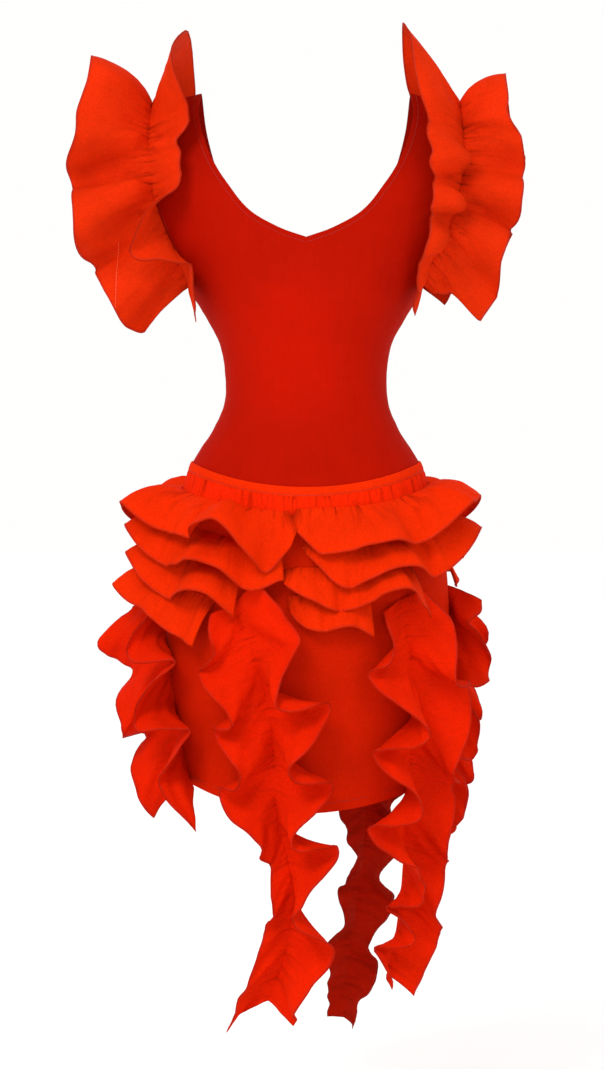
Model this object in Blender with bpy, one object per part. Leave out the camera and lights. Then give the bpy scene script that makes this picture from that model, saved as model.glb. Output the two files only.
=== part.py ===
"""A tiered ruffle dress: a low-necked bodice, double ruffles on the armholes, and a knee-length skirt
with hip tiers and centre-gathered cascades. The open cloth shells keep the shape of a standing figure.

Millimetres until a point is placed, +Z up, +X the viewer's right, -Y the front. The origin lies between
the shoulder seams, at the height of their neck ends. Angles go round the figure from the centre front,
positive to the viewer's right.
"""

import math
from collections import namedtuple

import bpy
from mathutils import Vector

MM = 0.001

# Driving sizes
PANEL_WALL = 2.0  # stretch cloth of the bodice and skirt
BAND_WALL = 2.6  # folded casing round its elastic
RUFFLE_WALL = 1.6  # one layer of ruffle cloth with its rolled edge
SEAM_GAP = 0.3  # between two pieces that are sewn together
SKIRT_GAP = 0.5  # between the skirt and the bodice inside its top
ROOT_GAP = 0.3  # between a ruffle's gathered line and the cloth under it
BAND_HEIGHT = 13.0
BAND_SIDE_HEIGHT = -503.0  # top edge of the waistband at the side seams
BAND_FRONT_DIP = 30.0
BODICE_TUCK = 26.0  # how far the bodice goes down inside the waistband
HEM_FRONT_HEIGHT = -968.0
HEM_SIDE_RISE = 38.0
UNDERARM_HEIGHT = -283.0
SHOULDER_SLOPE = 22.0  # fall of the shoulder seam from neck to armhole
BAND_SWELL = 0.5
SLEEVE_INSET = 0.02  # share of the shoulder's width between the armhole's edge and the ruffle's gathered line
SLEEVE_LOWEST_RISE = 0.07  # where the ruffle ends above the underarm
SLEEVE_LIFT = 0.4
SHOULDER_LIFT = 2.5  # more of it where the ruffle rides over the end of the shoulder seam
QUARTER_COLUMNS = 8  # columns of a panel between its centre and its side
BODICE_LEVELS = (0, 0.12, 0.25, 0.37, 0.5, 0.62, 0.75, 0.88)  # rows from the bottom edge to the underarm
CHEST_RISES = (0, 0.1, 0.2, 0.36, 0.45, 0.55, 0.66, 0.77, 0.86, 0.93, 0.98, 1.0)  # underarm to shoulder
SKIRT_LEVELS = (1.0, 0.88, 0.74, 0.6, 0.46, 0.32, 0.2, 0.1, 0)  # rows from the hem to the waistband

Section = namedtuple("Section", "height half_width front back")
FIGURE = [
    Section(-283, 150, 112, 100),
    Section(-310, 134, 106, 93),
    Section(-345, 116, 96, 86),
    Section(-389, 109.5, 86, 82),
    Section(-425, 112, 86, 86),
    Section(-460, 127, 91, 95),
    Section(-487, 144, 99, 104),
    Section(-507, 155, 105, 110),
    Section(-560, 171, 115, 124),
    Section(-620, 185, 122, 134),
    Section(-700, 191, 125, 136),
    Section(-800, 186, 123, 128),
    Section(-900, 174, 118, 120),
    Section(-1000, 163, 114, 116),
    Section(-1320, 150, 108, 112),
]

Edge = namedtuple("Edge", "height across")
FRONT_NECK = [
    Edge(-201, 0),
    Edge(-189, 34),
    Edge(-166, 74),
    Edge(-130, 104),
    Edge(-100, 123),
    Edge(-60, 138),
    Edge(-25, 144),
    Edge(0, 141),
]
BACK_NECK = [
    Edge(-232, 0),
    Edge(-224, 40),
    Edge(-195, 78),
    Edge(-150, 106),
    Edge(-100, 124),
    Edge(-50, 136),
    Edge(0, 141),
]
ARMHOLE = [
    Edge(-283, 150),
    Edge(-250, 163),
    Edge(-200, 186),
    Edge(-150, 203),
    Edge(-100, 211),
    Edge(-50, 212),
    Edge(0, 208),
]
ARMHOLE_OPENING = [  # share of the chest's half width at the armhole's edge, which sets how far it opens
    Edge(-283, 1.0),
    Edge(-240, 0.93),
    Edge(-190, 0.885),
    Edge(-100, 0.87),
    Edge(0, 0.88),
]


def smooth(rows, at, column):
    """A column of a table at any height, read from a curve through its rows."""
    rows = sorted(rows, key=lambda row: row[0])
    if at <= rows[0][0]:
        return getattr(rows[0], column)
    if at >= rows[-1][0]:
        return getattr(rows[-1], column)
    i = max(k for k in range(len(rows) - 1) if rows[k][0] <= at)
    low, high = rows[i], rows[i + 1]
    before, after = rows[max(i - 1, 0)], rows[min(i + 2, len(rows) - 1)]
    span = high[0] - low[0]
    start = (getattr(high, column) - getattr(before, column)) / (high[0] - before[0]) * span
    end = (getattr(after, column) - getattr(low, column)) / (after[0] - low[0]) * span
    a, b = getattr(low, column), getattr(high, column)
    t = (at - low[0]) / span
    return (
        (2 * t**3 - 3 * t**2 + 1) * a
        + (t**3 - 2 * t**2 + t) * start
        + (3 * t**2 - 2 * t**3) * b
        + (t**3 - t**2) * end
    )


def figure_point(angle, height):
    """A point of the figure's surface, which is the bodice's outer face."""
    half_width = smooth(FIGURE, height, "half_width")
    depth = smooth(FIGURE, height, "front" if math.cos(angle) > 0 else "back")
    return Vector((half_width * math.sin(angle), -depth * math.cos(angle), height))


def figure_normal(angle, height):
    turn, step = 0.01, 1.0
    around = figure_point(angle + turn, height) - figure_point(angle - turn, height)
    up = figure_point(angle, height + step) - figure_point(angle, height - step)
    return around.cross(up).normalized()


def over_figure(angle, height, out):
    return figure_point(angle, height) + figure_normal(angle, height) * out


def band_top(angle):
    """Height of the waistband's top edge, which dips at the front."""
    return BAND_SIDE_HEIGHT - BAND_FRONT_DIP * max(0.0, math.cos(angle)) ** 2


def hem_height(angle):
    return HEM_FRONT_HEIGHT + HEM_SIDE_RISE * math.sin(angle) ** 2


def chest_point(face, across, rise):
    """A point of a bodice panel above the underarm. Across is 0 at the neck and 1 at the armhole,
    and rise is 1 at the shoulder seam."""
    nominal = UNDERARM_HEIGHT * (1 - rise)
    neck = FRONT_NECK if face < 0 else BACK_NECK
    inner = smooth(neck, nominal, "across") if nominal > min(row.height for row in neck) else 0.0
    outer = smooth(ARMHOLE, nominal, "across")
    x = inner + across * (outer - inner)
    chest_half = outer / smooth(ARMHOLE_OPENING, nominal, "across")
    depth = FIGURE[0].front if face < 0 else FIGURE[0].back
    roundness = (1 - rise**2.6) ** 0.6
    y = face * depth * roundness * math.sqrt(max(0.0, 1 - (x / chest_half) ** 2))
    top = -SHOULDER_SLOPE * max(0.0, (x - 120) / 90) if rise > 0 else 0.0
    return Vector((x, y, nominal + top * rise**2))


def material(name, colour, roughness):
    made = bpy.data.materials.new(name)
    made.use_nodes = True
    shader = made.node_tree.nodes["Principled BSDF"]
    shader.inputs["Base Color"].default_value = (*colour, 1)
    shader.inputs["Roughness"].default_value = roughness
    shader.inputs["Metallic"].default_value = 0.0
    made.diffuse_color = (*colour, 1)
    return made


def boundary_pairs(faces):
    """Directed edges that belong to one face only."""
    edges = {(a, b) for face in faces for a, b in zip(face, face[1:] + face[:1])}
    return sorted(edge for edge in edges if edge[::-1] not in edges)


def cloth_node(name, outer, inner, finish, closed=False, skip=lambda i, j: False, weld=()):
    """A node: a grid of outer points and one of inner points, joined round their borders as one closed wall.
    weld pairs name grid places that are one point."""
    index, places = {}, []
    same = dict(weld)
    for i, row in enumerate(outer):
        for j in range(len(row)):
            place = same.get((i, j), (i, j))
            if place not in index:
                index[place] = len(places)
                places.append(place)
            index[(i, j)] = index[place]
    faces = []
    width = len(outer[0])
    for i in range(len(outer) - 1):
        for j in range(width if closed else width - 1):
            if skip(i, j):
                continue
            k = (j + 1) % width
            corners = [(i, j), (i, k), (i + 1, k), (i + 1, j)]
            a, b, c, d = [index[corner] for corner in corners]
            pa, pb, pc, pd = [outer[row][column] for row, column in corners]
            # Both layers are cut along the same diagonal, so that a twisted cell keeps its wall.
            if (pa - pc).length <= (pb - pd).length:
                faces += [[a, b, c], [a, c, d]]
            else:
                faces += [[a, b, d], [b, c, d]]
    count = len(places)
    rims = [[b, a, a + count, b + count] for a, b in boundary_pairs(faces)]
    backs = [[k + count for k in reversed(face)] for face in faces]
    points = [tuple(layer[i][j] * MM) for layer in (outer, inner) for i, j in places]
    mesh = bpy.data.meshes.new(name)
    mesh.from_pydata(points, [], faces + backs + rims)
    mesh.materials.append(finish)
    mesh.shade_smooth()
    mesh.set_sharp_from_angle(angle=math.radians(50))
    made = bpy.data.objects.new(name, mesh)
    bpy.context.scene.collection.objects.link(made)
    return made


def grid_normals(grid, flip=1):
    """The surface's direction at each grid point, from its neighbours."""
    rows, columns = len(grid), len(grid[0])
    made = []
    for i in range(rows):
        row = []
        for j in range(columns):
            across = grid[i][min(j + 1, columns - 1)] - grid[i][max(j - 1, 0)]
            along = grid[min(i + 1, rows - 1)][j] - grid[max(i - 1, 0)][j]
            row.append(across.cross(along).normalized() * flip)
        made.append(row)
    return made


def moved(grid, normals, out):
    return [[point + normal * out for point, normal in zip(*pair)] for pair in zip(grid, normals)]


def quarter_angles():
    return [math.pi / 2 * k / QUARTER_COLUMNS for k in range(QUARTER_COLUMNS + 1)]


def flatten(normal):
    """A wall direction in the plane of a side or shoulder seam, so that the seam's faces stay parallel."""
    return Vector((normal.x, 0, normal.z)).normalized()


def bodice_half(face, side):
    """Points and wall directions of half a bodice panel, in columns from the centre or neck to the side
    or armhole."""
    neck = FRONT_NECK if face < 0 else BACK_NECK
    half = []
    for level in BODICE_LEVELS:
        row = []
        for angle in quarter_angles():
            turned = angle if face < 0 else math.pi - angle
            bottom = band_top(turned) - BODICE_TUCK
            height = bottom + level * (UNDERARM_HEIGHT - bottom)
            row.append(figure_point(turned, height))
        half.append(row)
    neck_rise = 1 - neck[0].height / UNDERARM_HEIGHT
    for rise in sorted({neck_rise, *CHEST_RISES}):
        half.append([chest_point(face, math.sin(angle), rise) for angle in quarter_angles()])
    half = [[Vector((side * p.x, p.y + face * SEAM_GAP / 2, p.z)) for p in row] for row in half]
    normals = grid_normals(half, flip=-side * face)
    for row in normals[: len(BODICE_LEVELS) + 1]:
        row[-1] = flatten(row[-1])
    normals[-1] = [flatten(normal) for normal in normals[-1]]
    return half, normals


def bodice_panel(name, face, finish):
    """Front (face -1) or back (face 1) panel: two halves that share the centre line below the neck."""
    neck_height = (FRONT_NECK if face < 0 else BACK_NECK)[0].height
    (left, left_normals), (right, right_normals) = bodice_half(face, face), bodice_half(face, -face)
    grid = [list(reversed(a)) + b for a, b in zip(left, right)]
    normals = [list(reversed(a)) + b for a, b in zip(left_normals, right_normals)]
    middle = QUARTER_COLUMNS
    shared = [i for i, row in enumerate(grid) if row[middle].z <= neck_height + 0.01]
    for i in shared:
        normals[i][middle] = (normals[i][middle] + normals[i][middle + 1]).normalized()
    weld = [((i, middle + 1), (i, middle)) for i in shared]
    inner = moved(grid, normals, -PANEL_WALL)
    return cloth_node(name, grid, inner, finish, skip=lambda i, j: j == middle, weld=weld)


def ring_angles(first, last, count):
    return [math.radians(first + (last - first) * k / count) for k in range(count + 1)]


def skirt_panel(name, face, finish):
    """Front or back of the skirt, from under the waistband to the hem."""
    first, last = (-90, 90) if face < 0 else (90, 270)
    layers = []
    for out in (SKIRT_GAP + PANEL_WALL, SKIRT_GAP):
        grid = []
        for level in SKIRT_LEVELS:
            row = []
            for angle in ring_angles(first, last, 2 * QUARTER_COLUMNS):
                top = band_top(angle) - BAND_HEIGHT - SEAM_GAP
                height = top + level * (hem_height(angle) - top)
                row.append(over_figure(angle, height, out) + Vector((0, face * SEAM_GAP / 2, 0)))
            grid.append(row)
        layers.append(grid)
    return cloth_node(name, *layers, finish)


def waistband(name, finish):
    """The elastic's casing, a little swollen along its middle."""
    count = 4 * QUARTER_COLUMNS
    layers = []
    for out in (SEAM_GAP + BAND_WALL, SEAM_GAP):
        grid = []
        for level in (1.0, 0.5, 0.0):
            swell = BAND_SWELL * math.sin(math.pi * level) if out > SEAM_GAP else 0.0
            turns = [2 * math.pi * k / count for k in range(count)]
            grid.append([over_figure(a, band_top(a) - level * BAND_HEIGHT, out + swell) for a in turns])
        layers.append(grid)
    return cloth_node(name, *layers, finish, closed=True)


# Ruffles: a path that is sewn to the cloth, and folds that say how the strip leaves it
Fold = namedtuple("Fold", "place stand width droop lean", defaults=(0, 0))
Style = namedtuple("Style", "root_flat root_stand tip_flat tip_stand curl")
Station = namedtuple("Station", "point normal place")
PathKey = namedtuple("PathKey", "number angle height")

TIER_STYLE = Style(28, 98, 6, 30, 7)
CASCADE_STYLE = Style(14, 64, 8, 88, 4)
OUTER_STYLE = Style(20, 84, 12, 18, 5)
INNER_STYLE = Style(20, 78, 8, 110, 4)
ROLLED_STYLE = Style(20, 100, 8, -60, 3)


def fold_at(folds, place):
    """The strip's fold at a place along its path, easing from row to row, and its sideways curl, -1 to 1."""
    if place <= folds[0].place:
        return folds[0], 0.0
    for low, high in zip(folds, folds[1:]):
        if place <= high.place:
            t = (place - low.place) / (high.place - low.place)
            ease = (1 - math.cos(math.pi * t)) / 2
            curl = math.sin(math.pi * t) * max(-1.0, min(1.0, 2 * (low.stand - high.stand)))
            return Fold(*[a + (b - a) * ease for a, b in zip(low, high)]), curl
    return folds[-1], 0.0


def stations_on(path, step):
    """Even stations along a path, which gives a point, a normal and the place that the fold rows count by."""
    samples = 240
    points = [path(k / samples) for k in range(samples + 1)]
    lengths = [0.0]
    for a, b in zip(points, points[1:]):
        lengths.append(lengths[-1] + (b.point - a.point).length)
    count = max(2, round(lengths[-1] / step))
    made, k = [], 0
    for n in range(count + 1):
        goal = lengths[-1] * n / count
        while k < samples - 1 and lengths[k + 1] < goal:
            k += 1
        share = (goal - lengths[k]) / (lengths[k + 1] - lengths[k])
        a, b = points[k], points[k + 1]
        place = goal if a.place is None else a.place + (b.place - a.place) * share
        made.append(Station(a.point.lerp(b.point, share), a.normal.lerp(b.normal, share).normalized(), place))
    return made


def wing_points(stations, folds, side, style, strips):
    """For each station, the points from the sewn line to the free edge. The cloth keeps its width as it
    leans and stands."""
    down = Vector((0, 0, -1))
    rows, fine = [], 4
    for k, station in enumerate(stations):
        ahead = stations[min(k + 1, len(stations) - 1)].point
        behind = stations[max(k - 1, 0)].point
        along = (ahead - behind).normalized()
        normal = station.normal
        lateral = normal.cross(along).normalized() * side
        fold, curl = fold_at(folds, station.place)
        root = style.root_flat + (style.root_stand - style.root_flat) * fold.stand
        tip = style.tip_flat + (style.tip_stand - style.tip_flat) * fold.stand
        point, row = station.point.copy(), []
        for part in range(strips * fine):
            t = (part + 0.5) / strips / fine
            tilt = math.radians(root + (tip - root) * t)
            droop = math.radians(fold.droop) * (0.5 + 0.5 * t)
            away = lateral * math.cos(tilt) + normal * math.sin(tilt)
            step = away * math.cos(droop) + down * math.sin(droop)
            point = point + step * (fold.width / strips / fine)
            if (part + 1) % fine == 0:
                across = (part + 1) / strips / fine
                row.append(point + along * (curl * style.curl * across**2 + fold.lean * across))
        rows.append(row)
    return rows


def skirt_path(rows, by_angle=False):
    """A path over the skirt, and on down past its hem, from rows of angle (degrees) and height.
    Fold rows count by the angle, or by the distance along the path."""
    keyed = [PathKey(k, *row) for k, row in enumerate(rows)]

    def at(share):
        number = share * (len(rows) - 1)
        degrees = smooth(keyed, number, "angle")
        angle, height = math.radians(degrees), smooth(keyed, number, "height")
        out = SKIRT_GAP + PANEL_WALL + ROOT_GAP + RUFFLE_WALL / 2
        place = degrees * (1 if rows[-1][0] > 0 else -1) if by_angle else None
        return Station(over_figure(angle, height, out), figure_normal(angle, height), place)

    return at


def ruffle_node(name, grid, finish):
    """A ruffle's middle surface as a wall, half to each side."""
    normals = grid_normals(grid)
    half = RUFFLE_WALL / 2
    return cloth_node(name, moved(grid, normals, half), moved(grid, normals, -half), finish)


def tier(name, path, folds, finish, step=15.5, strips=3):
    """A strip sewn along its top edge."""
    stations = stations_on(skirt_path(path, by_angle=True), step)
    side = -1 if path[-1][0] > path[0][0] else 1
    wing = wing_points(stations, folds, side, TIER_STYLE, strips)
    return ruffle_node(name, [[s.point] + row for s, row in zip(stations, wing)], finish)


def double_ruffle(name, path, wings, styles, finish, step=12.5, strips=2):
    """A strip gathered along its middle line, with a wing on each side of it."""
    stations = stations_on(path, step)
    left = wing_points(stations, wings[0], -1, styles[0], strips)
    right = wing_points(stations, wings[1], 1, styles[1], strips)
    grid = [list(reversed(a)) + [s.point] + b for a, s, b in zip(left, stations, right)]
    return ruffle_node(name, grid, finish)


def sleeve_path(side):
    """Round the armhole from the front underarm over the shoulder to the back underarm."""

    def surface(face, across, rise):
        point = chest_point(face, across, rise)
        return Vector((side * point.x, point.y, point.z))

    def at(share):
        turn = 2 * share - 1
        face = -1 if turn < 0 else 1
        rise = min(0.9995, 1 - abs(turn) ** 1.6 * (1 - SLEEVE_LOWEST_RISE))
        point = surface(face, 1 - SLEEVE_INSET, rise)
        beside = surface(face, 0.98 - SLEEVE_INSET, rise)
        above = surface(face, 1 - SLEEVE_INSET, min(1.0, rise + 0.002))
        below = surface(face, 1 - SLEEVE_INSET, rise - 0.002)
        normal = (point - beside).cross(above - below).normalized() * side * -face
        lift = SLEEVE_LIFT + SHOULDER_LIFT * max(0.0, 1 - abs(turn) / 0.16)
        return Station(point + normal * (ROOT_GAP + RUFFLE_WALL / 2 + lift), normal, None)

    return at


def folds(*rows):
    return [Fold(*row) for row in rows]


def even_folds(length, count, width, end_width, start=0.0, droops=(12, 46)):
    """Alternating flat and standing folds, count half waves over a length."""
    rows = [Fold(0, 0.1, width * 0.3, 20)] if start > 0 else []
    for k in range(count + 1):
        t = k / count
        stand = k % 2
        rows.append(Fold(start + (length - start) * t, stand, width + (end_width - width) * t, droops[stand]))
    return rows


TIERS = {
    "tier_left_1": dict(
        path=[(-8, -566), (-30, -560), (-60, -547), (-90, -539), (-130, -533), (-179.5, -531)],
        folds=folds((8, 0.1, 78, 0, -16), (14, 0, 92, 0, -6), (32, 1.15, 88), (46, 0.4, 72), (58, 0.3, 68),
                    (79, 1, 94), (103, 0.1, 80), (121, 1, 82), (139, 0, 80), (158, 1, 78), (179.5, 0.1, 74))),
    "tier_left_2": dict(
        path=[(-10, -604), (-35, -600), (-65, -583), (-90, -566), (-130, -562), (-179.5, -562)],
        folds=folds((10, 0, 56, 0, -8), (20, 0.1, 76), (36, 0.75, 66), (58, 0.1, 66), (79, 0.9, 76),
                    (103, 0, 64), (121, 0.85, 66), (139, 0, 64), (158, 0.85, 62), (179.5, 0.1, 60))),
    "tier_left_3": dict(
        path=[(-26, -640), (-45, -634), (-70, -615), (-90, -598), (-130, -593), (-179.5, -593)],
        folds=folds((26, 0.05, 66, 6), (38, 0.7, 60), (56, 0, 66), (79, 0.8, 68), (103, 0, 62),
                    (121, 0.75, 62), (139, 0, 62), (158, 0.75, 60), (179.5, 0.1, 58))),
    "tier_left_4": dict(
        path=[(-38, -684), (-55, -670), (-75, -648), (-90, -632), (-130, -624), (-179.5, -624)],
        folds=folds((38, 0.1, 68, 4, 6), (50, 0.1, 66), (66, 0.45, 64), (82, 0.85, 84), (94, 0.6, 70),
                    (106, 0, 64), (121, 0.7, 66), (139, 0, 66), (158, 0.7, 64), (179.5, 0.1, 62))),
    "tier_right_1": dict(
        path=[(-4, -562), (30, -557), (60, -543), (90, -532), (130, -531), (179.5, -531)],
        folds=folds((-4, 0.2, 50, 0, -8), (5, 0, 68), (27, 0.55, 78), (44, 0.2, 74), (68, 0.95, 82),
                    (82, 1, 80), (104, 0.1, 76), (122, 1, 80), (140, 0, 78), (158, 1, 76), (179.5, 0.1, 72))),
    "tier_right_2": dict(
        path=[(1, -604), (30, -600), (60, -584), (90, -566), (130, -562), (179.5, -562)],
        folds=folds((1, 0.1, 30, 0, -8), (15, 0, 70), (32, 0.7, 70), (50, 0, 76), (78, 0.85, 72),
                    (104, 0, 64), (122, 0.85, 66), (140, 0, 64), (158, 0.85, 62), (179.5, 0.1, 60))),
    "tier_right_3": dict(
        path=[(-7, -640), (20, -638), (47, -630)],
        folds=folds((-7, 0.4, 40, 0, -10), (12, 0, 62), (33, 0.8, 64), (47, 0.1, 88))),
    "tier_right_4": dict(
        path=[(-7, -676), (10, -676), (26, -676)],
        folds=folds((-7, 0, 38), (6, 0.1, 52), (17, 0.35, 50), (26, 0.1, 60))),
    "tier_right_5": dict(
        path=[(98, -598), (130, -593), (179.5, -593)],
        folds=folds((98, 0.2, 52), (106, 0, 60), (122, 0.75, 62), (140, 0, 62), (158, 0.75, 60),
                    (179.5, 0.1, 58))),
    "tier_right_6": dict(
        path=[(104, -628), (130, -624), (179.5, -624)],
        folds=folds((104, 0.1, 56), (122, 0.7, 66), (140, 0, 66), (158, 0.7, 64), (179.5, 0.1, 62))),
}

CASCADES = {
    "cascade_left_front": dict(
        path=[(-30, -688), (-22, -752), (-16, -815), (-14, -885), (-14, -955), (-9, -1025), (-5, -1095),
              (-11, -1165), (-19, -1222)],
        left=folds((0, 0.1, 30, 16), (24, 0.6, 52, 40), (60, 0, 74, 12), (104, 0.75, 76, 40),
                   (148, 0.05, 78, 16), (200, 0.7, 74, 36), (246, 0, 76, 16), (300, 0.85, 56, 40),
                   (346, 0.3, 28, 30), (400, 0.5, 44, 36), (446, 0.2, 44, 26), (492, 0.4, 60, 40),
                   (548, 0.05, 88, 62)),
        right=folds((0, 0.1, 60, 18, -28), (34, 0.1, 84, 16, -14), (64, 0.05, 86, 14), (103, 0.75, 82, 40),
                    (144, 0, 92, 12), (186, 0.75, 84, 42), (234, 0, 86, 12), (288, 0.75, 78, 42),
                    (338, 0, 78, 14), (398, 1.2, 62, 40), (452, 0.05, 64, 18), (504, 0.6, 62, 30),
                    (548, 0.2, 46, 26))),
    "cascade_right_front": dict(
        path=[(40, -684), (46, -750), (50, -815), (51, -880), (51, -945), (52, -1010), (51, -1075),
              (48, -1135), (43, -1190)],
        left=folds((0, 0.1, 36, 14), (30, 0.5, 58, 34), (70, 0, 84, 12), (128, 0.85, 84, 44),
                   (190, 0, 90, 12), (236, 0.8, 82, 42), (290, 0, 86, 14), (370, 1.15, 60, 42),
                   (411, 0.2, 42, 16), (444, 1.15, 46, 30), (474, 0.1, 44, 12), (510, 0.8, 44, 30)),
        right=folds((0, 0.1, 40, 14, -10), (36, 0.1, 68, 14), (72, 0.75, 78, 42), (116, 0, 86, 12),
                    (184, 0.8, 78, 44), (244, 0, 71, 12), (300, 0.7, 70, 42), (352, 0.2, 62, 20),
                    (392, 0.8, 60, 40), (436, 0.05, 66, 16), (510, 0.3, 44, 40))),
    "cascade_left_side": dict(
        path=[(-80, -682), (-78, -722), (-76, -768), (-73, -824), (-70, -880), (-67, -930)],
        left=folds((0, 0.2, 70, 16), (26, 0.4, 120, 20), (84, 0.05, 94, 16), (126, 0.9, 84, 44),
                   (170, 0, 86, 14), (214, 0.7, 78, 42), (268, 0.1, 72, 46)),
        right=folds((0, 0.1, 32, 16), (36, 1, 74, 44), (80, 0, 80, 12), (124, 1, 80, 46), (170, 0, 82, 16),
                    (212, 0.7, 80, 46), (256, 0.1, 100, 60))),
    "cascade_right_side": dict(
        path=[(98, -672), (98, -722), (98, -776), (97, -832), (96, -888), (94, -945), (92, -1000)],
        left=folds((0, 0.7, 56, 30), (36, 0, 70, 12), (76, 1, 72, 44), (130, 0, 64, 12), (182, 1, 64, 44),
                   (226, 0, 60, 12), (264, 0.95, 60, 44), (328, 0.3, 44, 40)),
        right=folds((0, 0.1, 28, 16), (34, 1, 76, 40), (84, 0, 84, 12), (130, 0.9, 82, 46), (172, 0, 80, 12),
                    (216, 0.95, 76, 46), (258, 0, 70, 14), (296, 0.8, 58, 46), (328, 0.2, 46, 40))),
    "cascade_right_back": dict(
        path=[(147, -684), (147, -765), (147, -850), (148, -935), (149, -1020), (152, -1100), (156, -1180),
              (160, -1284)],
        left=even_folds(578, 11, 84, 36, start=26),
        right=folds((0, 0.1, 24, 20), (40, 0, 80, 12), (84, 1, 80, 46), (130, 0, 80, 12), (176, 1, 78, 46),
                    (222, 0, 74, 12), (266, 1, 66, 46), (306, 0, 50, 14), (340, 0.1, 36, 20),
                    (378, 0.6, 34, 40), (420, 0.1, 38, 16), (460, 0.5, 36, 30), (502, 0, 44, 20),
                    (540, 0.3, 44, 24), (584, 0.1, 28, 12))),
    "cascade_left_back": dict(
        path=[(-150, -684), (-150, -740), (-150, -800), (-151, -860), (-152, -915)],
        left=even_folds(232, 5, 80, 50, start=40),
        right=even_folds(232, 5, 80, 50, start=24)),
}

SLEEVES = {
    "sleeve_ruffle_left": dict(
        outer=folds((0, 0.2, 100, 50), (48, 0.8, 104, 32), (92, 0, 118, 12), (132, 0.9, 120, 6),
                    (172, 0, 114, 4), (214, 0.8, 114, 4), (256, 1.0, 108, 0), (306, 0.8, 104, 0),
                    (352, 0, 112, 4), (394, 1, 116, 8), (436, 0, 112, 14), (490, 0.4, 74, 40)),
        inner=folds((0, 0.1, 50, 66), (44, 0, 54, 20), (92, 1.0, 70, 24), (140, 0, 66, 4),
                    (186, 0.08, 72, 8), (220, 0.1, 82, 2), (256, 0.58, 122, 0), (304, 0.2, 76, 4),
                    (350, 0.8, 64, 14), (394, 0, 60, 4), (436, 1, 62, 20), (490, 0.1, 36, 20))),
    "sleeve_ruffle_right": dict(
        outer=folds((0, 0.1, 24, 50), (28, 0.1, 44, 52), (52, 0.1, 104, 58), (76, 0.1, 104, 38),
                    (98, 0.8, 84, 24), (122, 0, 88, 12), (147, 0.7, 88, 4), (178, 0, 88, 4),
                    (210, 0.5, 80, 0), (236, 0.85, 74, 0), (262, 0.85, 76, 0), (308, 0.85, 80, 0),
                    (352, 0, 90, 4), (394, 1, 96, 8), (436, 0, 90, 12), (490, 0.4, 44, 40)),
        inner=folds((0, 0.1, 44, 60), (40, 0.1, 48, 30), (74, 0.8, 72, 16), (98, 0.1, 52, 10),
                    (121, 0.95, 88, 8), (147, 0.1, 56, 6), (178, 1, 104, 2), (216, 0.2, 66, -8),
                    (256, 0.3, 122, -56), (304, 0.2, 84, -14), (350, 0.8, 84, 8), (394, 0.1, 56, 4),
                    (436, 0.8, 80, 12), (490, 0.1, 36, 20))),
}


def main():
    for old in list(bpy.data.objects):
        bpy.data.objects.remove(old)
    bodice_red = material("bodice_red", (0.50, 0.010, 0.002), 0.62)
    skirt_red = material("skirt_red", (0.78, 0.022, 0.003), 0.72)
    bodice_panel("bodice_front", -1, bodice_red)
    bodice_panel("bodice_back", 1, bodice_red)
    waistband("waistband", skirt_red)
    skirt_panel("skirt_front", -1, skirt_red)
    skirt_panel("skirt_back", 1, skirt_red)
    for name, sizes in TIERS.items():
        tier(name, sizes["path"], sizes["folds"], skirt_red)
    for name, sizes in CASCADES.items():
        wings = (sizes["left"], sizes["right"])
        double_ruffle(name, skirt_path(sizes["path"]), wings, (CASCADE_STYLE, CASCADE_STYLE), skirt_red)
    left, right = SLEEVES["sleeve_ruffle_left"], SLEEVES["sleeve_ruffle_right"]
    wings, styles = (left["inner"], left["outer"]), (INNER_STYLE, OUTER_STYLE)
    double_ruffle("sleeve_ruffle_left", sleeve_path(-1), wings, styles, skirt_red)
    wings, styles = (right["outer"], right["inner"]), (OUTER_STYLE, ROLLED_STYLE)
    double_ruffle("sleeve_ruffle_right", sleeve_path(1), wings, styles, skirt_red)


main()
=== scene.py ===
import math

import bpy
import numpy as np
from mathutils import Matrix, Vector, noise
from mathutils.bvhtree import BVHTree


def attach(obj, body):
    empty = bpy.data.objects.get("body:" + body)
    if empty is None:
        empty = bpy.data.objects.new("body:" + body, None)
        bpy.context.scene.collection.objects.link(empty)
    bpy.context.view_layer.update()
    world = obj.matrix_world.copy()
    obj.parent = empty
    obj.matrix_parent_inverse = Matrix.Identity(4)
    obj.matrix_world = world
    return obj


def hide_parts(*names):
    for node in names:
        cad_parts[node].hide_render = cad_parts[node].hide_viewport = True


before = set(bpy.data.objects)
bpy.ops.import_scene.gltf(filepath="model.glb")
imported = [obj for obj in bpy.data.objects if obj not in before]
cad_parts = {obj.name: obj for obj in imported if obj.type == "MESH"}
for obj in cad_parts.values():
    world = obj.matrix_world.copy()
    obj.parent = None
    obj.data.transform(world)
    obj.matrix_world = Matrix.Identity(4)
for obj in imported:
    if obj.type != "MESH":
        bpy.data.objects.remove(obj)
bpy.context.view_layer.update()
print("frame loaded:", len(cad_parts), "solids")

# Lengths are millimetres until a mesh is made. Angles go round the figure from the centre front.
mm = 0.001

studio = {  # metres and degrees
    "aim": (-0.0054, 0.0, -0.6018), "distance": 5.0, "heightSeen": 1.4538, "elevation": 3.0, "sensor": 24.0,
    "worldLight": 1.0, "worldColour": (1, 0.995, 0.985, 1),
    "key": {"spot": (-1.6, -3.0, 2.0), "aim": (0, 0, -0.6), "size": 1.6, "power": 74.0},
    "fill": {"spot": (2.4, -2.6, 0.2), "aim": (0, 0, -0.7), "size": 1.8, "power": 10.0},
    "floorHeight": -1.42, "floorRadius": 14.0, "floorSides": 64, "floorShade": (0.982, 0.996), "floorGlow": 0.03,
}


def placed(name, data):
    made = bpy.data.objects.new(name, data)
    bpy.context.scene.collection.objects.link(made)
    return made


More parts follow.
